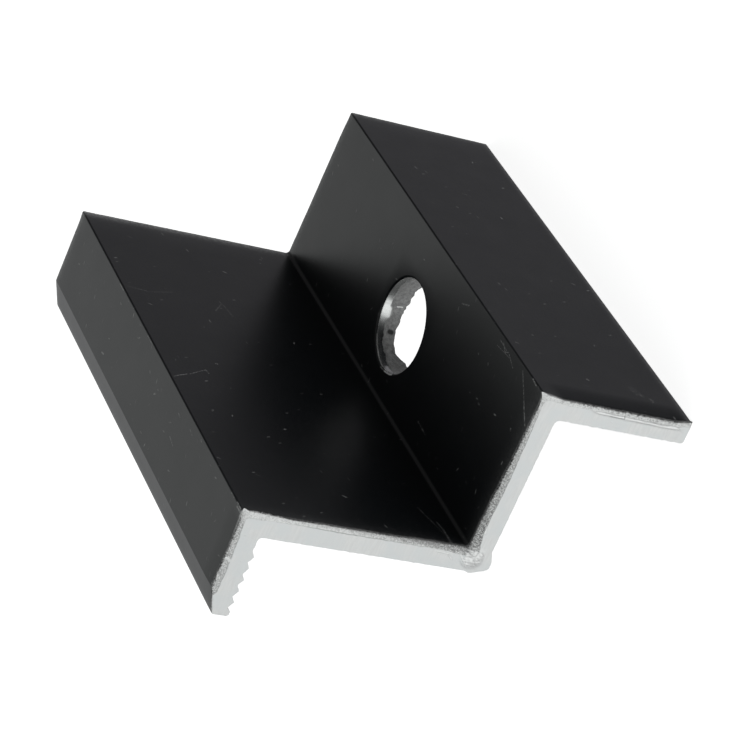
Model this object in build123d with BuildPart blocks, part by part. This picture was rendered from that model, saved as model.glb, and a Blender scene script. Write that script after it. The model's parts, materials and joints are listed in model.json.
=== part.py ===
from build123d import *

import os

# End clamp for a framed solar module: one aluminium extrusion, sawn to length, with one punched bolt hole.
# Millimetres. +Z is the bolt's axis, upwards, and +Y runs along the extrusion.
# The origin is on the bolt hole's axis, on the plate's top face.
# The section steps from left to right: lip over the module frame, wall, plate, leg down to the rail.

# Length of the sawn piece, and how far the hole stands from the middle of it, towards +Y
length = 50.0
hole_shift = 0.6

# Outer width of the base, from the wall's outer face to the leg's outer face
base_width = 18.0

# Thicknesses of the wall, the plate and the leg
wall_thickness = 2.2
plate_thickness = 2.2
leg_thickness = 2.2

# Heights above the rail: the plate's top face, and the tips of the lip's teeth.
# The grip is 1 mm less than a 35 mm module frame, so that the bolt pulls the lip down on to it.
plate_height = 15.0
grip_height = 34.0

# Lip: how far it reaches past the wall, its thickness above the teeth, and the slope along its top
lip_reach = 8.0
lip_thickness = 2.4
slope_run = 2.7
slope_drop = 1.15

# Teeth along the underside of the lip, between a plain land at the wall and one at the nose
tooth_pitch = 1.15
tooth_depth = 0.35
root_land = 1.4
nose_land = 0.8

# Clearance hole for an M8 bolt
bolt_hole = 9.0

# Heel along the outer corner of wall and plate, which bears on the module frame's side: how far below the plate's
# top face it starts and is widest, how far it stands past the wall and the plate, and the inset and width of its
# flat and the length of its ramp, along the plate
heel_start = 0.35
heel_shoulder = 1.0
heel_swell = 0.15
heel_drop = 0.4
heel_inset = 0.4
heel_flat = 0.8
heel_ramp = 1.0

# Roundings: the fillet between wall and plate, the other inner corners, the outer edges, the nose, the heel
valley_radius = 0.35
inner_radius = 0.35
edge_radius = 0.25
nose_radius = 0.4
heel_radius = 0.3

# Places that follow from the sizes above
wall_outer = -base_width / 2
wall_inner = wall_outer + wall_thickness
leg_outer = base_width / 2
leg_inner = leg_outer - leg_thickness
foot = -plate_height
tooth_tips = foot + grip_height
lip_underside = tooth_tips + tooth_depth
top = lip_underside + lip_thickness
nose = wall_outer - lip_reach
plate_underside = -plate_thickness
far_end = length / 2 - hole_shift

# As many whole teeth as fit between the two lands; the land at the nose takes up what is left over
tooth_count = int((lip_reach - root_land - nose_land) / tooth_pitch)
first_tooth = wall_outer - root_land
last_tooth = first_tooth - tooth_count * tooth_pitch

teeth = []
for i in range(tooth_count):
    start = first_tooth - i * tooth_pitch
    teeth.append((start, lip_underside))
    teeth.append((start - tooth_pitch / 2, tooth_tips))

# The heel's corners, from the wall round to the plate's underside
heel_sole = plate_underside - heel_drop
heel_side = (wall_outer - heel_swell, -heel_shoulder)
heel_toe = (wall_outer + heel_inset, heel_sole)
heel_back = (heel_toe[0] + heel_flat, heel_sole)
heel_end = (heel_back[0] + heel_ramp, plate_underside)

# Inner and outer corners that are rounded, with the radius of each
rounded_corners = [
    ((wall_inner, 0), valley_radius),
    ((wall_outer, lip_underside), inner_radius),
    ((leg_inner, plate_underside), inner_radius),
    ((wall_inner, top), edge_radius),
    ((leg_outer, 0), edge_radius),
    ((leg_outer, foot), edge_radius),
    ((leg_inner, foot), edge_radius),
    ((nose, top - slope_drop), nose_radius),
    ((nose, tooth_tips), edge_radius),
    (heel_side, heel_radius),
    (heel_toe, heel_radius),
    (heel_back, heel_radius),
]

with BuildPart() as end_clamp:
    with BuildSketch(Plane.XZ.offset(-far_end)) as section:
        # The stepped section, clockwise from the top of the wall
        with BuildLine():
            Polyline(
                (wall_inner, top),
                (wall_inner, 0),
                (leg_outer, 0),
                (leg_outer, foot),
                (leg_inner, foot),
                (leg_inner, plate_underside),
                heel_end,
                heel_back,
                heel_toe,
                heel_side,
                (wall_outer, -heel_start),
                (wall_outer, lip_underside),
                *teeth,
                (last_tooth, lip_underside),
                (last_tooth - tooth_depth, tooth_tips),
                (nose, tooth_tips),
                (nose, top - slope_drop),
                (nose + slope_run, top),
                close=True,
            )
        make_face()
        for (x, z), radius in rounded_corners:
            fillet(section.vertices().sort_by_distance((x, z, 0))[0], radius)
    extrude(amount=length)
    # The punched hole, square through the plate
    with Locations((0, 0, 0)):
        Hole(bolt_hole / 2)

end_clamp.part.label = "end_clamp"

os.makedirs("parts", exist_ok=True)
export_step(end_clamp.part, "parts/end_clamp.step")
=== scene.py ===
import json
import math

import bmesh
import bpy
from mathutils import Matrix, Vector, noise


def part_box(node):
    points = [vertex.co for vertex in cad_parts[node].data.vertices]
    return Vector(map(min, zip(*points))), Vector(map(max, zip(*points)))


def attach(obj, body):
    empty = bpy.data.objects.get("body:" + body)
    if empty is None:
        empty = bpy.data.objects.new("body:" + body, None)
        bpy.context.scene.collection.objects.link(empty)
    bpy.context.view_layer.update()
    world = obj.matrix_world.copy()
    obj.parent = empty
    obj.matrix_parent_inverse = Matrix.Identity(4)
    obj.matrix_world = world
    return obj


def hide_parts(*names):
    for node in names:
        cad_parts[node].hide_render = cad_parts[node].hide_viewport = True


# The end clamp is one extrusion, so it is one piece here too. Its section and mesh are worked out in
# millimetres in the CAD frame: X across the section, Y along the extrusion, Z up the bolt's axis.
MM = 0.001
NODE = "end_clamp"

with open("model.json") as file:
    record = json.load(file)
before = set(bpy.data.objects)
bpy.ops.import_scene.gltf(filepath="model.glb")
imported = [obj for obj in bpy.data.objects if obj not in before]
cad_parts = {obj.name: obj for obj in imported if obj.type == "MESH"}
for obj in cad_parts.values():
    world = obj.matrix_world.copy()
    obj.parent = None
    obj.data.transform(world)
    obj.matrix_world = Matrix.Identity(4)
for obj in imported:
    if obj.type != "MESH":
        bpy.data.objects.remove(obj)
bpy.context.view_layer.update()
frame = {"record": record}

# Places that come from the frame
mounts = {mount["name"]: mount for mount in frame["record"]["mounts"]}
low, high = (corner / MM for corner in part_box(NODE))
NOSE, NEAR_END, FOOT = low
LEG_OUTER, FAR_END, TOP = high
HOLE_RADIUS = mounts["bolt_hole"]["dims"]["r_mm"]
PLATE_UNDERSIDE = -mounts["bolt_hole"]["dims"]["length_mm"]
WALL_OUTER = mounts["module_side"]["pos_m"][0] / MM
TOOTH_TIPS = mounts["lip_teeth"]["pos_m"][2] / MM

# Sizes of the section that the frame doesn't state
WALL_THICKNESS = 2.2
LEG_THICKNESS = 2.2
SLOPE_RUN = 2.7
SLOPE_DROP = 1.15
TOOTH_COUNT = 5
TOOTH_PITCH = 1.15
TOOTH_DEPTH = 0.35
ROOT_LAND = 1.4
HEEL_START = 0.35
HEEL_SHOULDER = 1.0
HEEL_SWELL = 0.15
HEEL_DROP = 0.4
HEEL_INSET = 0.4
HEEL_FLAT = 0.8
HEEL_RAMP = 1.0
WALL_INNER = WALL_OUTER + WALL_THICKNESS
LEG_INNER = LEG_OUTER - LEG_THICKNESS
LIP_UNDERSIDE = TOOTH_TIPS + TOOTH_DEPTH

# Roundings of the section, and the steps in each
VALLEY_RADIUS = 0.35
INNER_RADIUS = 0.35
EDGE_RADIUS = 0.25
RIDGE_RADIUS = 0.15
NOSE_RADIUS = 0.4
HEEL_RADIUS = 0.3
BREAK_RADIUS = 0.15
ARC_STEPS = 8

# The mesh: size of its cells on the sawn ends, the rows across the section and how they crowd towards the
# visible side, how far the paths round nose and foot bend them, and the half width and steps of the square
# window round the hole
CELL = 0.09
ROWS = 24
ROW_CROWDING = 1.15
ROW_SHARES = [(j / ROWS) ** ROW_CROWDING for j in range(ROWS + 1)]
END_BLEND = 0.7
WINDOW = 5.4
WINDOW_STEPS = 40
# Places nearer together than this count as one, and edges that turn more than this, in degrees, are sharp
CLOSE = 1e-4
SHARP_ANGLE = 40

# The black skin beside a sawn end: how far its dense mesh reaches, and its rows as shares of that
SKIN_START = 2.8
SKIN_ROWS = (0.05, 0.12, 0.22, 0.34, 0.48, 0.65, 0.82)

# The punched hole: how far its land stands inside the CAD's bore, its rolled edge, the depth of the
# burnished land, the taper, rag and rows of the torn zone below it, where in the taper the burr hangs, the
# deepest chip in its edge, and how much wider the underside's flat collar starts
LAND_INSET = 0.1
ROLL = 0.2
ROLL_STEPS = 6
BURNISHED = 0.85
TEAR_TAPER = 0.15
TEAR_RAG = 0.06
TEAR_ROWS = (0.06, 0.2, 0.35, 0.5, 0.62, 0.75)
BURR_LEAN = 0.7
DEEPEST_CHIP = 0.28
COLLAR = 0.4

# How far the burr hangs below the plate, by the angle round the hole in degrees. Below 0 it is chipped.
BURR_DROPS = [
    (0, 0.1), (30, 0.3), (58, 0.6), (72, 0.4), (90, 0.46), (100, 0.22), (112, 0.17), (122, -0.1),
    (140, -0.22), (151, -0.1), (157, 0.25), (163, 0.8), (180, 1.0), (196, 0.9), (215, 0.4), (240, 0.1),
    (360, 0.1),
]
# Where black skin gives way to bare metal on the rolled edge: the ring of the profile, by the same angle
BARE_RING = [(0, 5), (115, 5), (130, 4), (178, 4), (205, 5), (360, 5)]
# The lit burr on the rolled edge, bare metal that a mark on the hole's wall paints near white as a
# highlight: the angles it runs between and the rings it takes up
LIT_ANGLES = (186, 207)
LIT_RINGS = (1, 2, 3)

# The sawn ends: the relief of the torn strip, the folded tuft in the valley, how far back from the near end
# the black faces droop towards it and how steeply, and how ragged the hidden side's outline is
GRAIN = 0.045
FOLD_CENTRE = Vector((-7.6, -0.6))
FOLD_RADIUS = 1.15
FOLD_HEIGHT = 0.22
DROOP_LENGTH = 2.1
DROOP_POWER = 1.4
RAGGED = 0.07

# Camera: the photograph's viewpoint in millimetres, its axes, and the lens for the 750 x 750 frame
CAMERA_PLACE = Vector((121.93, -247.57, 149.18))
CAMERA_RIGHT = Vector((0.37799, -0.32669, -0.86625))
CAMERA_UP = Vector((0.83338, 0.52759, 0.16468))
CAMERA_LENS = 167.99
SENSOR = 36.0


def rounded(corners):
    """Points along a path of (x, z, radius) corners, and the place of each corner's middle in the list."""
    points, middles = [], []
    for k, (x, z, radius) in enumerate(corners):
        here = Vector((x, z))
        if radius == 0:
            middles.append(len(points))
            points.append(here)
            continue
        back = (Vector(corners[k - 1][:2]) - here).normalized()
        ahead = (Vector(corners[k + 1][:2]) - here).normalized()
        half = back.angle(ahead) / 2
        centre = here + (back + ahead).normalized() * radius / math.sin(half)
        start = here + back * radius / math.tan(half) - centre
        end = here + ahead * radius / math.tan(half) - centre
        sweep = math.pi - 2 * half
        middles.append(len(points) + ARC_STEPS // 2)
        for step in range(ARC_STEPS + 1):
            share = step / ARC_STEPS
            blend = start * math.sin((1 - share) * sweep) + end * math.sin(share * sweep)
            points.append(centre + blend / math.sin(sweep))
    return points, middles


def window_lines():
    """Places across the hole's square window, where the mesh has a line each way."""
    return [WINDOW * (2 * k / WINDOW_STEPS - 1) for k in range(WINDOW_STEPS + 1)]


def visible_side():
    """The section from the middle of the nose, over lip, wall, plate and leg, to the middle of the foot."""
    corners = [
        (NOSE, (TOP - SLOPE_DROP + TOOTH_TIPS) / 2, 0),
        (NOSE, TOP - SLOPE_DROP, NOSE_RADIUS),
        (NOSE + SLOPE_RUN, TOP, BREAK_RADIUS),
        (WALL_INNER, TOP, RIDGE_RADIUS),
        (WALL_INNER, 0, VALLEY_RADIUS),
    ]
    corners += [(x, 0, 0) for x in window_lines()]
    corners += [
        (LEG_OUTER, 0, RIDGE_RADIUS),
        (LEG_OUTER, FOOT, EDGE_RADIUS),
        ((LEG_OUTER + LEG_INNER) / 2, FOOT, 0),
    ]
    points, middles = rounded(corners)
    return points, [middles[1], middles[3], middles[4], middles[-3], middles[-2]]


def hidden_side():
    """The same way along the toothed underside, the wall's outer face, the heel and the leg's inner face."""
    last_tooth = WALL_OUTER - ROOT_LAND - TOOTH_COUNT * TOOTH_PITCH
    sole = PLATE_UNDERSIDE - HEEL_DROP
    toe = WALL_OUTER + HEEL_INSET
    corners = [
        (NOSE, (TOP - SLOPE_DROP + TOOTH_TIPS) / 2, 0),
        (NOSE, TOOTH_TIPS, EDGE_RADIUS),
        (last_tooth - TOOTH_DEPTH, TOOTH_TIPS, 0),
        (last_tooth, LIP_UNDERSIDE, 0),
    ]
    for k in range(TOOTH_COUNT):
        start = last_tooth + k * TOOTH_PITCH
        corners += [(start + TOOTH_PITCH / 2, TOOTH_TIPS, 0), (start + TOOTH_PITCH, LIP_UNDERSIDE, 0)]
    inner_corner = len(corners)
    corners += [
        (WALL_OUTER, LIP_UNDERSIDE, INNER_RADIUS),
        (WALL_OUTER, -HEEL_START, 0),
        (WALL_OUTER - HEEL_SWELL, -HEEL_SHOULDER, HEEL_RADIUS),
        (toe, sole, HEEL_RADIUS),
        (toe + HEEL_FLAT, sole, HEEL_RADIUS),
        (toe + HEEL_FLAT + HEEL_RAMP, PLATE_UNDERSIDE, 0),
    ]
    corners += [(x, PLATE_UNDERSIDE, 0) for x in window_lines()]
    corners += [
        (LEG_INNER, PLATE_UNDERSIDE, INNER_RADIUS),
        (LEG_INNER, FOOT, EDGE_RADIUS),
        ((LEG_OUTER + LEG_INNER) / 2, FOOT, 0),
    ]
    points, middles = rounded(corners)
    return points, [middles[1], middles[inner_corner], middles[inner_corner + 3], middles[-3], middles[-2]]


def divided(points, count):
    """The path cut into count pieces, with all its own points kept, and where those are in the list."""
    lengths = [(b - a).length for a, b in zip(points, points[1:])]
    pieces = [max(1, round(count * length / sum(lengths))) for length in lengths]
    while sum(pieces) < count:
        pieces[max(range(len(pieces)), key=lambda k: lengths[k] / pieces[k])] += 1
    while sum(pieces) > count:
        spare = [k for k in range(len(pieces)) if pieces[k] > 1]
        pieces[min(spare, key=lambda k: lengths[k] / pieces[k])] -= 1
    made, own = [], []
    for start, end, number in zip(points, points[1:], pieces):
        own.append(len(made))
        made += [start.lerp(end, k / number) for k in range(number)]
    return made + [points[-1]], own + [len(made)]


def spaced(points, shares):
    """Points at the given shares of a path's length."""
    lengths = [(b - a).length for a, b in zip(points, points[1:])]
    made = []
    for share in shares:
        left = share * sum(lengths)
        k = 0
        while k < len(lengths) - 1 and left > lengths[k]:
            left -= lengths[k]
            k += 1
        made.append(points[k].lerp(points[k + 1], min(1, left / lengths[k])))
    return made


def section_grid():
    """The section as columns from the visible side to the hidden one: a grid of points, the columns that the
    middle of the extrusion needs on the one side and on the other, and the first column of each limb."""
    seen, seen_cuts = visible_side()
    hidden, hidden_cuts = hidden_side()
    seen_row, hidden_row, seen_own, hidden_own, limbs = [], [], set(), set(), []
    for limb in range(4):
        upper = seen[seen_cuts[limb]:seen_cuts[limb + 1] + 1]
        lower = hidden[hidden_cuts[limb]:hidden_cuts[limb + 1] + 1]
        length = sum((b - a).length for a, b in zip(upper, upper[1:]))
        count = max(round(length / CELL), len(lower))
        upper, own_upper = divided(upper, count)
        lower, own_lower = divided(lower, count)
        offset = len(seen_row)
        limbs.append(offset)
        seen_own |= {offset + k for k in own_upper}
        hidden_own |= {offset + k for k in own_lower}
        seen_row += upper[:-1]
        hidden_row += lower[:-1]
    seen_row.append(upper[-1])
    hidden_row.append(lower[-1])
    nose_path = seen[:seen_cuts[0] + 1][::-1] + hidden[1:hidden_cuts[0] + 1]
    foot_path = seen[seen_cuts[4]:] + hidden[hidden_cuts[4]:-1][::-1]
    nose_column = spaced(nose_path, ROW_SHARES)
    foot_column = spaced(foot_path, ROW_SHARES)
    grid = []
    reach = round(END_BLEND / CELL)
    last = len(seen_row) - 1
    for i, (upper, lower) in enumerate(zip(seen_row, hidden_row)):
        column = [upper.lerp(lower, share) for share in ROW_SHARES]
        for distance, at, end_column in ((i, 0, nose_column), (last - i, last, foot_column)):
            pull = max(0, 1 - distance / reach)
            for j, share in enumerate(ROW_SHARES):
                column[j] += pull * (end_column[j] - seen_row[at].lerp(hidden_row[at], share))
        grid.append(column)
    return grid, seen_own, hidden_own, limbs


def knots(value, table):
    """A smooth run through (place, value) pairs in order of place."""
    for (x0, y0), (x1, y1) in zip(table, table[1:]):
        if value <= x1:
            share = max(0, (value - x0) / (x1 - x0))
            return y0 + (y1 - y0) * share * share * (3 - 2 * share)
    return table[-1][1]


# Places in the list of materials: the sawn ends, the punched hole and the plain black skin. The same skin on
# lip, wall, plate and leg, where the photo shows its marks, follows in that order.
SAWN = 0
PUNCHED = 1
SKIN = 2
PLATE_SKIN = SKIN + 3

# Stations along the visible side, in millimetres from the nose: the ridges, the valley and the foot
RIDGE = 10.4
VALLEY = RIDGE + TOP
EDGE = VALLEY + LEG_OUTER - WALL_INNER
SOLE = EDGE - FOOT

# The torn strip on the near end by station: its width, how far it falls back at the black faces, how gritty
# it is, and how dark the seam is that parts it from the smooth cut
STRIP_WIDTH = [
    (0, 0.06), (1.8, 0.1), (2.8, 0.7), (RIDGE - 6, 0.75), (RIDGE - 0.6, 0.7), (RIDGE + 0.6, 0.85),
    (RIDGE + 5, 0.7), (RIDGE + 9, 0.85), (RIDGE + 14, 0.85), (VALLEY - 5, 0.95), (VALLEY, 1.1),
    (VALLEY + 3, 0.9), (EDGE - 8, 0.85), (EDGE - 5, 0.7), (EDGE - 1, 0.5), (EDGE + 0.4, 0.75),
    (EDGE + 5, 0.65), (SOLE - 3, 0.85), (SOLE, 0.5),
]
STRIP_FALL = [
    (0, 0), (2, 0.05), (RIDGE - 1, 0.1), (RIDGE, 0.02), (RIDGE + 3, 0.12), (VALLEY - 8, 0.16),
    (VALLEY - 2, 0.3), (VALLEY + 4, 0.38), (EDGE - 3, 0.15), (EDGE, 0.02), (EDGE + 3, 0.1), (SOLE, 0.12),
]
STRIP_GRIT = [
    (0, 0.1), (2, 0.4), (RIDGE - 1, 0.5), (RIDGE + 0.5, 0.05), (RIDGE + 6, 0.1), (RIDGE + 12, 0.3),
    (VALLEY - 5, 0.4), (VALLEY - 1, 0.6), (VALLEY + 2, 1), (VALLEY + 7, 0.6), (EDGE - 5, 0.5),
    (EDGE - 1, 0.3), (EDGE + 0.5, 0), (SOLE - 6, 0.1), (SOLE - 3, 0.2), (SOLE, 0.2),
]
STRIP_SEAM = [
    (0, 0), (2, 0.6), (RIDGE - 1, 0.6), (RIDGE + 0.5, 0), (RIDGE + 4, 0.1), (RIDGE + 7, 0.8),
    (RIDGE + 12, 0.6), (VALLEY - 3, 0.1), (VALLEY + 3, 0.7), (EDGE - 2, 0.8), (EDGE, 0), (SOLE, 0.1),
]
# The notch on the lip where the saw left hardly any strip: its station, half length and strip width
NOTCH = RIDGE - 4.5
NOTCH_HALF = 0.14
NOTCH_STRIP = 0.06
# The far end's strip: its width, its fall, and how gritty, bright and sharply seamed it is
FAR_STRIP = 0.3
FAR_FALL = 0.08
FAR_LOOK = (0.5, 0, 0.3)

# The black faces beside the near end by station: how far they droop into the section, the radius by which
# the black skin rolls over the edge, and how much the bare metal frays it
DROOP = [
    (0, 0.02), (3, 0.13), (RIDGE - 1, 0.13), (RIDGE, 0), (RIDGE + 2, 0.04), (VALLEY - 8, 0.03),
    (VALLEY - 4, 0), (VALLEY + 4, 0), (VALLEY + 8, 0.08), (EDGE - 2, 0.09), (EDGE - 0.3, 0),
    (EDGE + 0.3, 0.05), (EDGE + 2, 0.3), (SOLE - 2, 0.28), (SOLE, 0.04),
]
SKIN_ROLL = [
    (0, 0.03), (3, 0.08), (RIDGE - 0.5, 0.06), (RIDGE, 0), (RIDGE + 1, 0.08), (VALLEY - 8, 0.06),
    (VALLEY - 5, 0), (VALLEY + 3, 0), (VALLEY + 6, 0.08), (EDGE - 1, 0.08), (EDGE, 0), (EDGE + 1, 0.09),
    (SOLE - 1, 0.09), (SOLE, 0.03),
]
SKIN_FRAY = [
    (0, 0.1), (RIDGE - 3, 0.3), (RIDGE - 0.5, 1), (RIDGE + 1, 0.6), (RIDGE + 3, 0.4), (VALLEY - 8, 0.5),
    (VALLEY - 4, 1), (VALLEY + 3, 0.9), (VALLEY + 6, 0.5), (EDGE - 2, 0.4), (EDGE, 0.7), (EDGE + 1, 0.2),
    (SOLE, 0.2),
]
# The fray of the far end, and how far from bare metal the skin counts as being at a rim without any fray
FAR_FRAY = 0.4
UNFRAYED = 0.3
# Where the near rim itself is worn bare, by station, and how far the black skin then stands back from it
BARE_RIM = [
    (RIDGE - 0.8, 0), (RIDGE, 0.8), (RIDGE + 0.5, 0.5), (RIDGE + 1.5, 0), (EDGE - 0.8, 0), (EDGE, 0.8),
    (EDGE + 0.8, 0.6), (EDGE + 2, 0),
]
BARE_WIDTH = 0.22

# How far the far cut stands out of square, by the place across the section, and further in at the foot
FAR_SKEW = [(-17, -0.05), (-8, 0.02), (-6.8, 0.14), (0, 0.03), (6, -0.02), (9, -0.16)]
FOOT_SKEW = -0.16

# Burrs that stand out of the near end's corners, and a broad low one along the top of the wall: station,
# outward direction, reach, and how far to each side. They end at BURR_DEPTH within the section.
BURRS = [
    (RIDGE, Vector((1, 0.25)), 0.26, 0.5),
    (RIDGE + 1.6, Vector((1, 0.1)), 0.22, 3.0),
    (EDGE, Vector((0.55, 0.83)), 0.42, 0.4),
    (SOLE, Vector((0.2, -1)), 0.3, 0.5),
]
BURR_DEPTH = 0.45
# The burr that is raised on the leg's sawn end: where it runs by station, its depth below the black face,
# its half width, its height, and how far it strays
LEG_BURR = [(EDGE + 4, 0), (EDGE + 6, 1), (SOLE - 1.5, 1), (SOLE - 0.5, 0)]
LEG_BURR_DEPTH = 0.72
LEG_BURR_HALF = 0.2
LEG_BURR_HEIGHT = 0.05
LEG_BURR_STRAY = 0.12


def strip_width(station, near):
    """Width of the torn strip at a station, with the notch on the lip where the saw left hardly any."""
    if not near:
        return FAR_STRIP
    if abs(station - NOTCH) < NOTCH_HALF:
        return NOTCH_STRIP
    return knots(station, STRIP_WIDTH)


def fold_share(point):
    """How much a point belongs to the folded tuft in the valley, from 0 to 1."""
    return max(0, 1 - (point - FOLD_CENTRE).length / FOLD_RADIUS)


def leg_burr_share(depth, station):
    """How much a place belongs to the raised burr that runs along the leg, from 0 to 1."""
    stray = LEG_BURR_STRAY * noise.noise(Vector((station * 0.6, 3, 0)))
    return knots(station, LEG_BURR) * max(0, 1 - abs(depth - LEG_BURR_DEPTH - stray) / LEG_BURR_HALF)


def cut_look(point, depth, station, near):
    """How gritty, bright and sharply seamed the torn strip is at a place of a sawn end, each from 0 to 1."""
    if not near:
        return FAR_LOOK
    bright = max(fold_share(point), leg_burr_share(depth, station))
    return (knots(station, STRIP_GRIT), bright, knots(station, STRIP_SEAM))


def end_relief(point, depth, station, near):
    """How far a point of a sawn end lies inwards. depth is its distance from the black face."""
    width = strip_width(station, near)
    fall = knots(station, STRIP_FALL) if near else FAR_FALL
    seed = 0 if near else 40
    share = max(0, 1 - depth / width)
    place = Vector((point.x, seed, point.y))
    ragged = 0.9 + 0.3 * noise.noise(place * 0.8)
    relief = fall * ragged * share ** 1.5
    grainy = GRAIN * min(1, 3 * share) * min(1, 0.25 + depth / 0.3)
    relief += grainy * (0.7 * noise.noise(place * 7) + noise.noise(place * 13))
    roll = knots(station, SKIN_ROLL) if near else 0
    if depth < roll:
        relief += roll - math.sqrt(roll ** 2 - (roll - depth) ** 2)
    if near:
        fold = fold_share(point)
        across = Vector((point.x * 0.77 + point.y * 0.64, 0, (point.y * 0.77 - point.x * 0.64) * 3.6))
        relief -= FOLD_HEIGHT * fold ** 0.7 * (0.35 + abs(noise.noise(across * 1.3)))
        relief -= LEG_BURR_HEIGHT * leg_burr_share(depth, station)
    return relief


def droop(station, distance):
    """How far a black face lies inside the section at a distance from the near end's rim."""
    return knots(station, DROOP) * max(0, 1 - distance / DROOP_LENGTH) ** DROOP_POWER


def section_shift(station, depth, share, inward):
    """How far a point of the near end is moved within the section: inwards at the drooping black faces,
    outwards at the burrs, and to and fro along the hidden side, where share is 1."""
    shift = inward * droop(station, 0) * (1 - share)
    for place, direction, reach, spread in BURRS:
        near_it = max(0, 1 - abs(station - place) / spread) * max(0, 1 - depth / BURR_DEPTH)
        shift += direction * reach * near_it ** 1.1
    here = Vector((station * 1.7, 0, 0))
    wave = noise.noise(here) + 0.6 * noise.noise(here * 2.7)
    return shift + inward * RAGGED * share ** 4 * wave


def far_end_at(x, z):
    """Where the far cut lies: it isn't quite square."""
    low_on_leg = FOOT_SKEW * z / FOOT if x > LEG_INNER and z < 0 else 0
    return FAR_END + knots(x, FAR_SKEW) + low_on_leg


def section_stations(grid, limbs):
    """The station of each column, with those of the ridges, the valley and the foot as named above."""
    walked = [0.0]
    for a, b in zip(grid, grid[1:]):
        walked.append(walked[-1] + (b[0] - a[0]).length)
    marks = [walked[k] for k in limbs] + [walked[-1]]
    stations = []
    for distance in walked:
        limb = sum(distance >= mark for mark in marks[1:-1])
        share = (distance - marks[limb]) / (marks[limb + 1] - marks[limb])
        first, last = (0, RIDGE, VALLEY, EDGE, SOLE)[limb:limb + 2]
        stations.append(first + (last - first) * share)
    return stations


def outline_places(columns, seen_own, hidden_own):
    """The outline as (column, row) places of the grid, and which ones the middle of the extrusion keeps."""
    last = columns - 1
    outline = [(i, 0) for i in range(columns)] + [(last, j) for j in range(1, ROWS)]
    outline += [(i, ROWS) for i in range(last, -1, -1)] + [(0, j) for j in range(ROWS - 1, 0, -1)]
    kept = [k for k, (i, j) in enumerate(outline)
            if (j == 0 and i in seen_own) or (j == ROWS and i in hidden_own) or 0 < j < ROWS]
    return outline, kept


def hole_profile(angle):
    """Radius and height of each ring of the punched hole's wall at an angle, from its top down."""
    round_it = Vector((math.cos(angle), math.sin(angle), 0))
    rag = noise.noise(round_it * 5.5) + 0.5 * noise.noise(round_it * 12)
    drop = knots(math.degrees(angle) % 360, BURR_DROPS) + 0.1 * noise.noise(round_it * 12)
    drop += 0.12 * noise.noise(round_it * 27)
    land = HOLE_RADIUS - LAND_INSET
    profile = []
    for step in range(ROLL_STEPS + 1):
        turn = math.pi / 2 * step / ROLL_STEPS
        profile.append((land + ROLL * (1 - math.sin(turn)), ROLL * (math.cos(turn) - 1)))
    tear = -BURNISHED + 0.12 * rag
    depth = PLATE_UNDERSIDE - tear
    profile.append((land, tear / 2))
    profile.append((land, tear))
    for share in TEAR_ROWS:
        grain = noise.noise(round_it * 10 + Vector((0, 0, 7 * share)))
        profile.append((land + TEAR_TAPER * share + TEAR_RAG * grain, tear + depth * share))
    profile.append((land + TEAR_TAPER * BURR_LEAN, PLATE_UNDERSIDE - max(drop, -DEEPEST_CHIP)))
    profile.append((land + TEAR_TAPER + COLLAR, PLATE_UNDERSIDE))
    return profile


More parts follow.
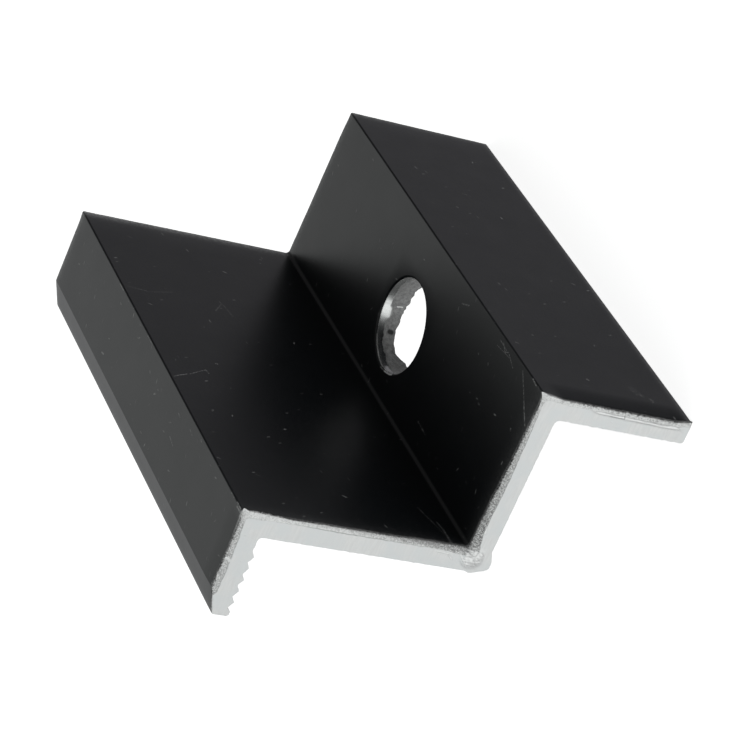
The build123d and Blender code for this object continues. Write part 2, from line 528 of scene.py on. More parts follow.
class Shell:
    """The clamp's mesh while it is built, with the grid and the outline of its section."""

    def __init__(self):
        self.grid, seen_own, hidden_own, self.limbs = section_grid()
        self.stations = section_stations(self.grid, self.limbs)
        self.outline, self.kept = outline_places(len(self.grid), seen_own, hidden_own)
        self.pairs = list(zip(self.kept, self.kept[1:] + self.kept[:1]))
        self.mesh = bmesh.new()
        for name in ("cut_place", "cut_kind"):
            self.mesh.verts.layers.float_vector.new(name)
        self.skin_gap = self.mesh.verts.layers.float.new("skin_gap")

    def put(self, x, y, z, gap=SKIN_START):
        """A vertex, with its distance from bare metal."""
        vertex = self.mesh.verts.new((x * MM, y * MM, z * MM))
        vertex[self.skin_gap] = gap
        return vertex

    def face(self, corners, material):
        """A face with its material."""
        self.mesh.faces.new(corners).material_index = material

    def skin(self, corners, k):
        """A face of the black skin, with the material of the limb that place k of the outline is on."""
        i, j = self.outline[k]
        limb = sum(i >= start for start in self.limbs) if j == 0 else 0
        self.face(corners, SKIN + limb)

    def sawn_end(self, near):
        """The face of a sawn end. Gives its vertices along the outline."""
        layers = self.mesh.verts.layers.float_vector
        cut_place, cut_kind = layers["cut_place"], layers["cut_kind"]
        end = []
        for column, station in zip(self.grid, self.stations):
            line = []
            inward = (column[-1] - column[0]).normalized()
            fray = knots(station, SKIN_FRAY) if near else FAR_FRAY
            rolled = knots(station, SKIN_ROLL) if near else 0
            softness = 1 + 8 * droop(station, 0) if near else 1
            bared = BARE_WIDTH * knots(station, BARE_RIM) if near else 0
            for share, point in zip(ROW_SHARES, column):
                depth = (point - column[0]).length
                relief = end_relief(point, depth, station, near)
                shift = section_shift(station, depth, share, inward) if near else Vector((0, 0))
                y = NEAR_END + relief if near else far_end_at(point.x, point.y) - relief
                vertex = self.put(point.x + shift.x, y, point.y + shift.y, UNFRAYED * (1 - fray) - bared)
                past_skin = (depth - rolled) / softness + bared
                vertex[cut_place] = (past_skin, depth + bared, min(3, depth / strip_width(station, near)))
                vertex[cut_kind] = cut_look(point, depth, station, near)
                line.append(vertex)
            end.append(line)
        for a, b in zip(end, end[1:]):
            for j in range(ROWS):
                self.face((a[j], b[j], b[j + 1], a[j + 1]), SAWN)
        return [end[i][j] for i, j in self.outline]

    def skin_row(self, rim, near, inner, share):
        """The outline part of the way from a sawn end's rim to the y of the first plain ring."""
        made = []
        for (i, j), vertex in zip(self.outline, rim):
            column = self.grid[i]
            point = column[j].copy()
            rim_y = vertex.co.y / MM
            y = rim_y * (1 - share) + inner * share
            gap = abs(y - rim_y) + vertex[self.skin_gap]
            if near and j == 0:
                point += (column[-1] - column[0]).normalized() * droop(self.stations[i], y - NEAR_END)
            made.append(self.put(point.x, y, point.y, gap))
        return made

    def beside_end(self, rim, near):
        """The dense rows of black skin beside a sawn end. Gives the last of them."""
        inner = NEAR_END + SKIN_START if near else FAR_END - SKIN_START
        before = rim
        for share in SKIN_ROWS:
            row = self.skin_row(rim, near, inner, share)
            for k in range(len(row)):
                after = (k + 1) % len(row)
                self.skin((before[k], before[after], row[after], row[k]), k)
            before = row
        return before

    def ring(self, y):
        """The kept places of the outline at a y."""
        made = {}
        for k in self.kept:
            i, j = self.outline[k]
            made[k] = self.put(self.grid[i][j].x, y, self.grid[i][j].y)
        return made

    def window(self, row, level):
        """The kept places of the outline across the hole's window, on one face of the plate, by x."""
        places = {}
        for k in self.kept:
            i, j = self.outline[k]
            point = self.grid[i][j]
            if j == row and abs(point.y - level) < CLOSE and abs(point.x) < WINDOW + CLOSE:
                places[point.x] = k
        return [places[x] for x in sorted(places)]

    def middle(self, dense_rows):
        """The middle of the extrusion, with a window left open round the hole on both faces of the plate.
        Gives its rings, and the window's places on the upper face and on the lower one."""
        stops = [NEAR_END + SKIN_START] + window_lines() + [FAR_END - SKIN_START]
        rings = [self.ring(y) for y in stops]
        for dense, coarse in zip(dense_rows, (rings[0], rings[-1])):
            for k, after in self.pairs:
                count = (after - k) % len(dense)
                run = [dense[(k + step) % len(dense)] for step in range(count + 1)]
                self.skin(run + [coarse[after], coarse[k]], k)
        windows = [self.window(0, 0), self.window(ROWS, PLATE_UNDERSIDE)]
        for step, (a, b) in enumerate(zip(rings, rings[1:])):
            beside_hole = 1 <= step <= WINDOW_STEPS
            for k, after in self.pairs:
                if not (beside_hole and any(k in window and after in window for window in windows)):
                    self.skin((a[k], a[after], b[after], b[k]), k)
        return rings, windows

    def punch_hole(self, rings, windows):
        """A flat collar from the window to the hole on both faces of the plate, and the hole's wall."""
        last = WINDOW_STEPS
        walk = [(last, y) for y in range(last)] + [(x, last) for x in range(last, 0, -1)]
        walk += [(0, y) for y in range(last, 0, -1)] + [(x, 0) for x in range(last)]
        upper, lower = ([rings[y + 1][window[x]] for x, y in walk] for window in windows)
        angles = [math.atan2(vertex.co.y, vertex.co.x) for vertex in upper]
        walls = [[self.put(r * math.cos(angle), r * math.sin(angle), z) for r, z in hole_profile(angle)]
                 for angle in angles]
        for k, angle in enumerate(angles):
            after = (k + 1) % len(angles)
            here, there = walls[k], walls[after]
            degrees = math.degrees(angle) % 360
            bare_from = knots(degrees, BARE_RING)
            lit_rings = LIT_RINGS if LIT_ANGLES[0] < degrees < LIT_ANGLES[1] else ()
            self.face((upper[k], upper[after], there[0], here[0]), PLATE_SKIN)
            self.face((lower[k], lower[after], there[-1], here[-1]), SKIN)
            for j in range(len(here) - 1):
                material = PUNCHED if j >= bare_from or j in lit_rings else PLATE_SKIN
                self.face((here[j], there[j], there[j + 1], here[j + 1]), material)


def build_clamp():
    """The whole clamp as one closed mesh."""
    shell = Shell()
    ends = (True, False)
    rims = [shell.sawn_end(near) for near in ends]
    dense_rows = [shell.beside_end(rim, near) for rim, near in zip(rims, ends)]
    shell.punch_hole(*shell.middle(dense_rows))
    mesh = shell.mesh
    bmesh.ops.recalc_face_normals(mesh, faces=mesh.faces)
    for face in mesh.faces:
        face.smooth = True
    data = bpy.data.meshes.new("clamp_body")
    mesh.to_mesh(data)
    mesh.free()
    return data


class Signal:
    """What a shader node's socket gives. Sums with it are written as with numbers, and become Math nodes."""

    def __init__(self, socket):
        self.socket = socket
        self.tree = socket.id_data

    def __add__(self, other):
        return maths("ADD", self, other)

    def __sub__(self, other):
        return maths("SUBTRACT", self, other)

    def __rsub__(self, other):
        return maths("SUBTRACT", other, self)

    def __mul__(self, other):
        return maths("MULTIPLY", self, other)

    def __truediv__(self, other):
        return maths("DIVIDE", self, other)

    def __pow__(self, other):
        return maths("POWER", self, other)

    __radd__ = __add__
    __rmul__ = __mul__


def feed(node, inputs):
    """Sets a node's inputs, or links them to signals."""
    for name, value in inputs.items():
        if isinstance(value, Signal):
            value.tree.links.new(value.socket, node.inputs[name])
        else:
            node.inputs[name].default_value = value


def make(tree, kind, inputs=None, **settings):
    """A shader node with its settings and inputs."""
    made = tree.nodes.new(kind)
    for name, value in settings.items():
        setattr(made, name, value)
    feed(made, inputs or {})
    return made


def signal(tree, kind, inputs=None, output=0, **settings):
    """What a new shader node gives."""
    return Signal(make(tree, kind, inputs, **settings).outputs[output])


def maths(operation, first, second, clamp=False):
    """The signal of a Math node. One of the two values at least is a signal."""
    tree = (first if isinstance(first, Signal) else second).tree
    return signal(tree, "ShaderNodeMath", {0: first, 1: second}, operation=operation, use_clamp=clamp)


def vector_maths(operation, first, second):
    """The signal of a Vector Math node: a number where the operation gives one, and else a vector."""
    output = "Value" if operation in ("DOT_PRODUCT", "DISTANCE") else "Vector"
    return signal(first.tree, "ShaderNodeVectorMath", {0: first, 1: second}, output, operation=operation)


def scaled(vector, scale):
    """A vector times a number."""
    return signal(vector.tree, "ShaderNodeVectorMath", {0: vector, "Scale": scale}, operation="SCALE")


def split(vector):
    """The three numbers of a vector or colour."""
    return [Signal(socket) for socket in make(vector.tree, "ShaderNodeSeparateXYZ", {0: vector}).outputs]


def ramp(value, start, end, low_value=0, high_value=1):
    """value carried smoothly from low_value at start to high_value at end."""
    inputs = {"Value": value, "From Min": start, "From Max": end, "To Min": low_value, "To Max": high_value}
    return signal(value.tree, "ShaderNodeMapRange", inputs, interpolation_type="SMOOTHSTEP")


def noise_at(place, scale, detail=2, roughness=0.5):
    """Fractal noise of a scale in cells per millimetre, from 0 to 1."""
    inputs = {"Vector": place, "Scale": scale, "Detail": detail, "Roughness": roughness}
    return signal(place.tree, "ShaderNodeTexNoise", inputs)


def stretched(place, scale, turn=(0, 0, 0)):
    """Places scaled and turned, for patterns that run one way."""
    return signal(place.tree, "ShaderNodeMapping", {"Vector": place, "Scale": scale, "Rotation": turn})


def millimetres(tree):
    """Places on the clamp in millimetres, in the CAD frame."""
    return scaled(signal(tree, "ShaderNodeTexCoord", output="Object"), 1 / MM)


# A Mix node's sockets for colours: share, first, second and result
MIX_SHARE, MIX_FIRST, MIX_SECOND, MIX_RESULT = 0, 6, 7, 2


def mixed(share, first, second):
    """Two colours mixed."""
    inputs = {MIX_SHARE: share, MIX_FIRST: first, MIX_SECOND: second}
    return signal(share.tree, "ShaderNodeMix", inputs, MIX_RESULT, data_type="RGBA")


def grey(level, tint=(1, 1, 1)):
    """A near-grey colour."""
    return (level * tint[0], level * tint[1], level * tint[2], 1)


def blank_material(name):
    """A material with only its output and a Principled shader."""
    material = bpy.data.materials.new(name)
    material.use_nodes = True
    tree = material.node_tree
    tree.nodes.clear()
    shader = make(tree, "ShaderNodeBsdfPrincipled")
    make(tree, "ShaderNodeOutputMaterial", {"Surface": Signal(shader.outputs[0])})
    return material, shader


def dress(shader, colour, rough, metallic, height, bump_distance):
    """Links the shader's looks. bump_distance is in millimetres."""
    inputs = {"Height": height, "Strength": 0.5, "Distance": bump_distance * MM}
    bump = signal(height.tree, "ShaderNodeBump", inputs)
    feed(shader, {"Base Color": colour, "Roughness": rough, "Metallic": metallic, "Normal": bump})


def mark_group():
    """A node group that says how near a place is to a straight mark: 1 on it, 0 past its half width."""
    group = bpy.data.node_groups.new("mark", "ShaderNodeTree")
    sockets = {"Place": "Vector", "Start": "Vector", "Run": "Vector", "Half": "Float", "Strength": "Float"}
    for name, kind in sockets.items():
        group.interface.new_socket(name, in_out="INPUT", socket_type="NodeSocket" + kind)
    group.interface.new_socket("Mark", in_out="OUTPUT", socket_type="NodeSocketFloat")
    given = make(group, "NodeGroupInput").outputs
    place, start, run, half, strength = (Signal(given[name]) for name in sockets)
    from_start = vector_maths("SUBTRACT", place, start)
    along = vector_maths("DOT_PRODUCT", from_start, run)
    share = maths("DIVIDE", along, vector_maths("DOT_PRODUCT", run, run), clamp=True)
    gap = vector_maths("DISTANCE", from_start, scaled(run, share))
    near_it = ramp(gap, half * 0.4, half, 1, 0)
    make(group, "NodeGroupOutput", {"Mark": near_it * strength})
    return group


# Tones of the black skin: the two that it is mottled in, and the dust, scratches and bare metal on it. The
# scratches' tone also paints a highlight on the plate's rim by the hole.
BLACKS = ((0.0018, (0.5, 1.0, 1.6)), (0.0034, (0.7, 1.0, 1.4)))
DUST_TONE = 1.0
SCRATCH_AND_RIM_HIGHLIGHT_TONE = 0.42
BARE_TONE = 0.6

# Scattered scratches: the ways they lie in degrees, each with the spacing of its cells, how far they tilt
# out of the face in radians, their half width, and the share of cells that has one where wear is 1
SCRATCH_WAYS = ((15, 1.0), (65, 1.3), (115, 0.7), (160, 1.1))
SCRATCH_TILT = 0.2
SCRATCH_HALF = 0.1
SCRATCH_SHARE = 0.7

# Metal dust on the black skin: how far it reaches from the far end, its haze further in, and from the nose
# and foot, each with how pale it is at the edge, and the faint haze that the near end has everywhere
FAR_DUST = (1.5, 0.2)
FAR_HAZE = (5.0, 0.026)
EDGE_DUST = (1.2, 0.15)
NEAR_HAZE = (12.0, 0.005)

# Marks on the black faces, in millimetres: where each starts, its run, its half width and its strength. They
# are given in the face's own two directions: x and y on the lip and plate, y and z on the wall and leg.
LIP_MARKS = [
    ((-11.6, 9.4), (0.1, -0.3), 0.08, 0.5), ((-13.2, 9.6), (0.1, -0.5), 0.12, 0.7),
    ((-8, 3.7), (-0.2, 0.3), 0.1, 0.6), ((-8.1, 9.6), (0, 0.3), 0.08, 0.5),
    ((-9.5, -3.3), (-0.2, 0.3), 0.11, 0.7), ((-8.2, -9.1), (0.1, 0.5), 0.08, 0.5),
    ((-9.4, -8.1), (-0.3, 0.5), 0.08, 0.4), ((-10.4, -8.8), (-0.2, -1.2), 0.08, 0.4),
    ((-7.9, -12.4), (0.1, 0.8), 0.07, 0.4), ((-13.4, -3.4), (0, -0.3), 0.09, 0.6),
    ((-13.8, -5.1), (0.2, 0), 0.12, 0.7), ((-12.4, -11.3), (-0.1, 0.4), 0.1, 0.5),
    ((-7.3, -14.4), (0.1, 0.2), 0.1, 0.5), ((-6.95, -22.6), (0, -0.7), 0.1, 0.4),
    ((-6.85, -24.1), (0, -0.9), 0.16, 1.2), ((-7.15, -24.3), (0, -0.9), 0.13, 0.9),
    ((-7, 11.5), (0, -1.2), 0.07, 0.6), ((-7, 2.5), (0, -1.5), 0.07, 0.5),
]
WALL_MARKS = [
    ((-4.5, 21.4), (0.8, -1.5), 0.08, 0.55), ((-3.6, 19.6), (1.3, -2), 0.07, 0.45),
    ((-2.3, 17.6), (-0.6, -0.1), 0.08, 0.5), ((10.9, 21.2), (-0.3, -2.1), 0.1, 0.2),
    ((10.6, 19.1), (0.8, -2.5), 0.09, 0.18), ((-0.8, 16), (0, 0.1), 0.12, 0.9),
    ((-9.3, 19.2), (-0.2, 0.1), 0.14, 0.4), ((-17.4, 21.4), (-0.1, -0.2), 0.11, 0.5),
    ((21.8, 4), (0, -0.1), 0.1, 0.6), ((21, 4.2), (0, 0.1), 0.1, 0.6),
    ((9.4, 12.8), (1.7, -1.2), 0.1, 0.22), ((11.1, 11.6), (-2.2, -0.4), 0.1, 0.22),
    ((-20.1, 3), (-4.7, -1.5), 0.1, 0.2), ((-22, 1.85), (-1.3, -0.2), 0.14, 0.2),
    ((-23.1, 1.65), (-2.3, 0), 0.17, 0.28),
]
PLATE_MARKS = [
    ((8.5, -21.2), (-1.6, -2), 0.08, 0.7), ((6.8, -23.3), (-1.4, -1.7), 0.1, 1),
    ((8.4, -16), (-0.1, -1.6), 0.07, 0.5), ((8.5, -16.7), (-0.5, -0.9), 0.07, 0.6),
    ((8.1, -17.5), (0.3, -0.6), 0.06, 0.6), ((8.3, -18.2), (-0.5, -1.4), 0.06, 0.6),
    ((7.8, -15.9), (0.3, -2.5), 0.05, 0.5), ((5.6, -13.9), (0, 0.2), 0.08, 0.7),
    ((5.8, -15.9), (0.1, 0.1), 0.1, 0.6), ((2.5, -15.2), (0, 0.1), 0.1, 0.5),
    ((2.6, -17.3), (0, 0.2), 0.1, 0.5), ((-4.2, -9.5), (-0.1, -2), 0.09, 0.45),
    ((3.9, -23.4), (0.1, 0.1), 0.12, 0.8), ((1.1, -24.3), (0.2, 0), 0.1, 0.8),
    # The marks that start at (-4.52, 0.1) and (-4.39, -0.75), on the hole's rim, are a painted highlight
    # along the lit rolled edge, not scratches
    ((4.2, 22.3), (0, 0.3), 0.09, 0.5), ((-4.52, 0.1), (0.13, -0.85), 0.11, 1.3),
    ((-4.39, -0.75), (0.08, -0.35), 0.11, 1), ((7.2, -8), (0.5, -1.2), 0.1, 0.5),
    ((8.9, -23.1), (-0.1, -0.9), 0.1, 0.8),
]
LEG_MARKS = [
    ((11.2, -7), (-0.1, -0.5), 0.07, 0.4), ((7.9, -5.2), (0.1, 0.1), 0.1, 0.6),
    ((2.6, -4), (0, 0.1), 0.09, 0.4), ((-21.5, -6.2), (0.1, 0.1), 0.13, 0.8),
    ((-15.1, -3.4), (0, 0.1), 0.1, 0.4), ((-14.4, -6), (-0.1, 0.1), 0.1, 0.4),
    ((-17.2, -1), (0.1, 0.2), 0.1, 0.5), ((-12.1, -12.6), (0.1, -0.2), 0.1, 0.5),
    ((-21.5, -10.6), (-0.9, -0.5), 0.5, 0.07), ((-21.9, -10.3), (-0.1, -0.2), 0.1, 0.35),
    ((-22.3, -11.1), (-0.2, 0), 0.11, 0.35), ((-22.5, -10.6), (0, -0.1), 0.1, 0.3),
    ((-22.8, -11.8), (-0.2, -0.3), 0.1, 0.4), ((-23.2, -12), (-0.2, 0.1), 0.1, 0.4),
]
# Bright folds on the near sawn end, in x and z, and painted shade on the sides of the chips there
CUT_FOLDS = [
    ((-7.5, 0.6), (-1, -0.9), 0.1, 1), ((-7.55, 2.9), (-0.05, -1.1), 0.08, 0.8),
    ((-7.75, 1.65), (-0.35, -0.4), 0.08, 0.9), ((-4.5, -0.55), (-0.6, -0.2), 0.09, 0.9),
    ((8.6, -6.9), (0.05, -1.4), 0.07, 0.7),
]
CHIP_SHADE = [
    ((8.1, -7), (0, -1.3), 0.06, 0.5), ((8.7, -8.3), (-0.6, -0.1), 0.06, 0.7),
    ((-8.45, -0.75), (0.4, -0.5), 0.07, 0.25),
]
# Marks on the hole's wall: a pit painted dark as shade, a nick and the lit burr painted near white as
# highlights, and the smoother patch where the burnished land
# reaches deeper: angle in degrees and height of each end, half width and strength
PAINTED_PIT_SHADE = ((126, -1.4), (126, -1.65), 0.32, 0.95)
PAINTED_NICK_HIGHLIGHT = ((95, -1.6), (94.5, -2.15), 0.1, 1)
PAINTED_RIM_GLINT = ((186, 0), (207, 0), 0.25, 1)
HOLE_POLISH = ((100, -0.75), (107, -0.8), 0.55, 0.9)


def on_plane(marks, axis, level):
    """Marks that are given in a plane's two directions, as marks in space. axis is the plane's third one."""

    def lifted(pair, height):
        return pair[:axis] + (height,) + pair[axis:]

    return [(lifted(start, level), lifted(run, 0), half, strength) for start, run, half, strength in marks]


def placed_marks(place, marks):
    """The strongest of the given marks at a place."""
    group = bpy.data.node_groups.get("mark") or mark_group()
    found = None
    for start, run, half, strength in marks:
        inputs = {"Place": place, "Start": start, "Run": run, "Half": half, "Strength": strength}
        mark = signal(place.tree, "ShaderNodeGroup", inputs, node_tree=group)
        found = maths("MAXIMUM", found, mark) if found else mark
    return found


def specks(place, spacing, amount, turn):
    """Scattered short scratches, four times as long as wide, that lie along one way. amount is the share of
    cells that has one."""
    inputs = {"Vector": place, "Rotation": turn, "Scale": (1, 4, 1)}
    turned = signal(place.tree, "ShaderNodeMapping", inputs, vector_type="TEXTURE")
    cells = make(place.tree, "ShaderNodeTexVoronoi", {"Vector": turned, "Scale": 1 / spacing})
    half = SCRATCH_HALF / spacing
    near_it = ramp(Signal(cells.outputs["Distance"]), 0.3 * half, half, 1, 0)
    chance, strength = split(Signal(cells.outputs["Color"]))[:2]
    return near_it * (strength ** 1.6 * maths("LESS_THAN", chance, amount))


def scratches(place, upright, wear):
    """Short scratches every way across flat faces, or across upright ones, as dense as wear says."""
    axis = 0 if upright else 2
    found = 0
    for angle, spacing in SCRATCH_WAYS:
        turn = tuple(math.radians(angle) if k == axis else SCRATCH_TILT for k in range(3))
        found = maths("MAXIMUM", found, specks(place, spacing, SCRATCH_SHARE * wear, turn))
    return found


def fading(distance, reach, level):
    """level at a distance of 0, falling steeply at first, to nothing at reach."""
    return maths("SUBTRACT", 1, distance / reach, clamp=True) ** 3 * level


def metal_dust(place, near_dust):
    """How pale the metal dust makes the skin by the sawn ends, the foot and the nose."""
    x, y, z = split(place)
    from_far = FAR_END - y
    from_near = y - NEAR_END
    far = fading(from_far, *FAR_DUST) + fading(from_far, *FAR_HAZE)
    edges = far + fading(z - FOOT, *EDGE_DUST) + fading(x - NOSE, *EDGE_DUST)
    return edges + fading(from_near, *near_dust) + fading(from_near, *NEAR_HAZE)


def anodised(name, upright, wear, near_dust, marks):
    """Satin black anodising, for flat faces or upright ones: faint die lines and mottle, scratches as dense
    as wear says, the given marks, metal dust by the edges, and bare metal where the sawn edge is frayed.
    near_dust is how far the dust reaches from the near end, and how pale it is there."""
    material, shader = blank_material(name)
    tree = material.node_tree
    place = millimetres(tree)
    scratches_and_rim_highlight = scratches(place, upright, wear) * ramp(noise_at(place, 0.22, 1), 0.4, 0.62, 0.25, 0.6)
    # On the plate, the placed marks include a painted highlight on the hole's rim
    if marks:
        broken = ramp(noise_at(place, 6, 1), 0.38, 0.62, 0.1, 0.75)
        scratches_and_rim_highlight = maths("MAXIMUM", scratches_and_rim_highlight, placed_marks(place, marks) * broken)
    wiped = noise_at(place, 3.5, 2)
    dust = metal_dust(place, near_dust) * ramp(wiped, 0.3, 0.7, 0.6, 1.4)

    gap = signal(tree, "ShaderNodeAttribute", output="Fac", attribute_name="skin_gap")
    bare = ramp(gap - noise_at(place, 6, 3, 0.7) * 0.5, -0.28, 0.1, 0.75, 0)

    mottle = noise_at(place, 0.35, 3)
    colour = mixed(mottle, *(grey(level, tint) for level, tint in BLACKS))
    colour = mixed(dust, colour, grey(DUST_TONE))
    colour = mixed(scratches_and_rim_highlight, colour, grey(SCRATCH_AND_RIM_HIGHLIGHT_TONE))
    colour = mixed(bare, colour, grey(BARE_TONE))
    rough = 0.06 * mottle + 0.31 + 0.04 * wiped + 0.25 * scratches_and_rim_highlight
    die_lines = noise_at(stretched(place, (1, 0.02, 1)), 5, 2)
    relief = 0.6 * noise_at(place, 7, 2) + 0.35 * die_lines
    dress(shader, colour, rough, bare, relief, 0.012)
    return material


def attribute(tree, name):
    """The three numbers that the mesh carries under a name."""
    return split(signal(tree, "ShaderNodeAttribute", output="Vector", attribute_name=name))


def smooth_cut(place, streaks):
    """Tone of the smooth part of a sawn end, with faint marks of the saw across it."""
    clouds = noise_at(place, 0.5, 3)
    tone = mixed(ramp(streaks, 0.3, 0.7), grey(0.81), grey(0.87))
    return mixed(ramp(clouds, 0.35, 0.65), tone, grey(0.83, (0.98, 1, 1.01)))


def torn_strip(grit, gritty):
    """Tone of the torn strip: grit that is darker and coarser where the cut was deepest."""
    dark = mixed(ramp(grit, 0.42, 0.64), grey(0.2), grey(0.82))
    light = mixed(ramp(grit, 0.3, 0.55), grey(0.56), grey(0.82))
    return mixed(gritty, light, dark)


def sawn_metal():
    """Bare aluminium of the sawn ends: a smooth face, a torn gritty strip along the black faces, and the
    black skin that the saw rolled over the edge."""
    material, shader = blank_material("sawn_aluminium")
    tree = material.node_tree
    place = millimetres(tree)
    past_skin, depth, ratio = attribute(tree, "cut_place")
    gritty, bright, seamed = attribute(tree, "cut_kind")
    streaks = noise_at(stretched(place, (0.5, 1, 3.2), (0, 0.75, 0)), 1.4, 4)
    grit = noise_at(place, 8, 3, 0.65)
    wander = noise_at(place, 2.2, 3, 0.6) - 0.5

    # The folded metal is bright, and the rest of the strip is torn
    folds = noise_at(stretched(place, (3.4, 1, 0.8), (0, -0.7, 0)), 1.6, 2)
    folded = ramp(bright + (folds - 0.5) * 1.2, 0.2, 0.42)
    folded = maths("MAXIMUM", folded, placed_marks(place, on_plane(CUT_FOLDS, 1, NEAR_END)))
    edge = ratio + wander * 0.4
    torn = ramp(edge, 0.93, 1.02, 1, 0) * (1 - folded)
    tone = mixed(torn, smooth_cut(place, streaks), torn_strip(grit, gritty))
    tone = mixed(folded, tone, grey(0.97))

    # A dark seam where the strip meets the smooth cut, painted shade on the sides of chips, and the strip's
    # shaded edge by the skin
    seam = ramp(edge, 0.86, 1) * ramp(edge, 1, 1.12, 1, 0) * seamed
    tone = mixed(seam * 0.7, tone, grey(0.12))
    tone = mixed(placed_marks(place, on_plane(CHIP_SHADE, 1, NEAR_END)), tone, grey(0.1))
    tone = mixed(ramp(depth + wander * 0.3, 0, 0.2, 0.6, 0), tone, grey(0.1))

    # The black skin that was rolled over the edge
    skin = ramp(past_skin + (wander * 0.12 + (grit - 0.5) * 0.45), -0.09, 0.07, 1, 0)
    tone = mixed(skin, tone, grey(0.002))

    height = 0.06 * streaks + 0.06 * noise_at(place, 14, 2) + 0.8 * (grit * torn * (gritty + 0.4))
    height += folded * (1.5 * folds)
    dress(shader, tone, 0.1 * streaks + 0.4, ramp(skin, 0, 1, 0.65, 0), height, 0.06)
    return material


def on_hole(angle, z):
    """A place on the hole's wall."""
    radius = HOLE_RADIUS - LAND_INSET + TEAR_TAPER / 2
    return Vector((radius * math.cos(math.radians(angle)), radius * math.sin(math.radians(angle)), z))


def hole_mark(start, end, half, strength):
    """A mark on the hole's wall between two (angle, z) places, as placed_marks takes it."""
    begin = on_hole(*start)
    return (begin, on_hole(*end) - begin, half, strength)


def punched_metal():
    """Bare aluminium of the hole's wall: burnished at the top, torn and dull below, with painted shade in a
    pit and painted highlights on a nick and the lit burr.
    """
    material, shader = blank_material("punched_aluminium")
    place = millimetres(material.node_tree)
    wander = noise_at(place, 0.9, 4, 0.6) - 0.5
    depth = split(place)[2] * -1 + wander * 0.7
    torn = ramp(depth, BURNISHED - 0.15, BURNISHED + 0.1)
    torn = maths("SUBTRACT", torn, placed_marks(place, [hole_mark(*HOLE_POLISH)]), clamp=True)
    grit = noise_at(place, 3.5, 3, 0.65)
    drawn = noise_at(stretched(place, (1, 1, 0.08)), 4, 2)
    smooth_tone = mixed(drawn, grey(0.5), grey(0.75))
    torn_tone = mixed(ramp(grit, 0.3, 0.7), grey(0.24), grey(0.42))
    tone = mixed(torn, smooth_tone, torn_tone)
    # Painted shade: a near-black mark where the wall's mesh has no pit
    tone = mixed(placed_marks(place, [hole_mark(*PAINTED_PIT_SHADE)]), tone, grey(0.03))
    # Painted highlights: near-white marks on the nick and on the burr of the rolled edge, made rougher and
    # less metallic so they stay bright
    lit = placed_marks(place, [hole_mark(*PAINTED_NICK_HIGHLIGHT), hole_mark(*PAINTED_RIM_GLINT)])
    tone = mixed(lit, tone, grey(0.95))
    torn = maths("MAXIMUM", torn, lit)
    rough = ramp(torn, 0, 1, 0.26, 0.6)
    metallic = ramp(torn, 0, 1, 1, 0.35)
    dress(shader, tone, rough, metallic, 0.1 * drawn + grit * torn * 1.5, 0.05)
    return material


def add_object(name, data):
    """An object in the scene."""
    made = bpy.data.objects.new(name, data)
    bpy.context.scene.collection.objects.link(made)
    return made


def add_clamp():
    """The dressed clamp, which stands for the CAD solid."""
    data = build_clamp()
    skins = [
        anodised("black_skin", False, 0.5, (0.5, 0.1), []),
        anodised("black_lip", False, 1, (0.5, 0.13), on_plane(LIP_MARKS, 2, TOP)),
        anodised("black_wall", True, 0.5, (2.4, 0.028), on_plane(WALL_MARKS, 0, WALL_INNER)),
        anodised("black_plate", False, 0.7, (3, 0.05), on_plane(PLATE_MARKS, 2, 0)),
        anodised("black_leg", True, 0.4, (0.35, 0.06), on_plane(LEG_MARKS, 0, LEG_OUTER)),
    ]
    for material in [sawn_metal(), punched_metal()] + skins:
        data.materials.append(material)
    clamp = add_object("clamp_body", data)
    data.set_sharp_from_angle(angle=math.radians(SHARP_ANGLE))
    weights = clamp.modifiers.new("weighted_normals", "WEIGHTED_NORMAL")
    weights.keep_sharp = True
    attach(clamp, "root")
    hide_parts(NODE)


# Studio: the floor is at the foot. Light comes from a pale side and fades to a dark one, with a bright panel
# in front and a dim one behind. The fades are between cosines of the angle to each direction.
FLOOR_SIZE = 6.0
FLOOR_TONE = 0.8
FLOOR_GLOW = 0.86
LIT_SIDE = Vector((-0.95, -0.2, 0.1))
FRONT_SIDE = Vector((-0.15, -0.86, -0.49))
BACK_SIDE = Vector((0.25, 0.85, -0.47))
LIT_FADE = (-0.12, 0.22)
ABOVE_FADE = (-0.5, 0.1)
FRONT_FADE = (0.88, 0.985)
BACK_FADE = (0.92, 0.99)
TINT_FADE = (0.3, 0.8)
DARK_LEVEL = 0.11
SIDE_LEVEL = 0.55
FRONT_LEVEL = 1.22
BACK_LEVEL = 0.18
SIDE_TINT = (0.97, 1.0, 0.985)
BACK_TINT = (1.0, 0.985, 1.03)


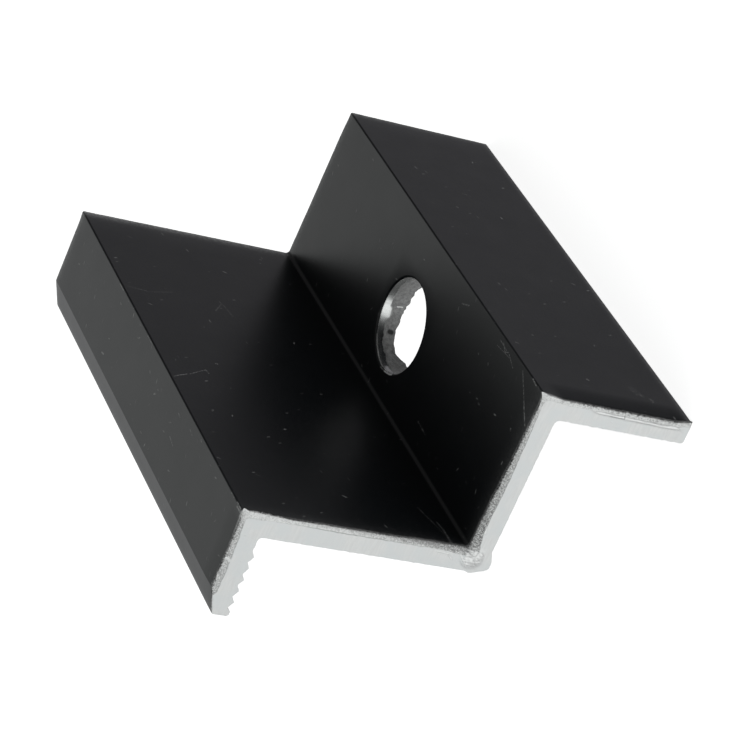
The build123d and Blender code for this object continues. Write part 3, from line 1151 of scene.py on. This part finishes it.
def add_floor():
    """A plain pale floor."""
    half = FLOOR_SIZE / 2
    level = FOOT * MM
    corners = [(-half, -half, level), (half, -half, level), (half, half, level), (-half, half, level)]
    data = bpy.data.meshes.new("floor")
    data.from_pydata(corners, [], [(0, 1, 2, 3)])
    floor = add_object("floor", data)
    material, shader = blank_material("pale_floor")
    feed(shader, {
        "Base Color": grey(FLOOR_TONE), "Roughness": 1, "Specular IOR Level": 0,
        "Emission Color": grey(1), "Emission Strength": FLOOR_GLOW,
    })
    data.materials.append(material)
    floor.visible_glossy = False


def add_world():
    """A studio that is pale on one side and dark on the other, behind a plain white backdrop."""
    world = bpy.data.worlds.new("studio")
    bpy.context.scene.world = world
    world.use_nodes = True
    tree = world.node_tree
    tree.nodes.clear()
    direction = signal(tree, "ShaderNodeTexCoord", output="Generated")

    def lit_from(side, fade, level=1):
        """Nothing away from a direction and level towards it."""
        return ramp(vector_maths("DOT_PRODUCT", direction, side.normalized()), *fade, 0, level)

    side = lit_from(LIT_SIDE, LIT_FADE, SIDE_LEVEL) * lit_from(Vector((0, 0, 1)), ABOVE_FADE)
    front = lit_from(FRONT_SIDE, FRONT_FADE, FRONT_LEVEL) + DARK_LEVEL
    back = lit_from(BACK_SIDE, BACK_FADE, BACK_LEVEL)
    seen = signal(tree, "ShaderNodeLightPath", output="Is Camera Ray")
    level = maths("MAXIMUM", side + front + back, seen)
    tint = mixed(lit_from(BACK_SIDE, TINT_FADE), grey(1, SIDE_TINT), grey(1, BACK_TINT))
    tint = mixed(seen, tint, grey(1))
    background = signal(tree, "ShaderNodeBackground", {"Color": tint, "Strength": level})
    make(tree, "ShaderNodeOutputWorld", {"Surface": background})


def add_camera():
    """The photograph's camera."""
    data = bpy.data.cameras.new("camera")
    data.lens = CAMERA_LENS
    data.sensor_width = SENSOR
    data.clip_start = 0.01
    camera = add_object("camera", data)
    backward = CAMERA_RIGHT.cross(CAMERA_UP)
    turn = Matrix((CAMERA_RIGHT, CAMERA_UP, backward)).transposed().to_4x4()
    camera.matrix_world = Matrix.Translation(CAMERA_PLACE * MM) @ turn
    bpy.context.scene.camera = camera


add_clamp()
add_floor()
add_world()
add_camera()
bpy.context.scene.view_settings.view_transform = "Standard"
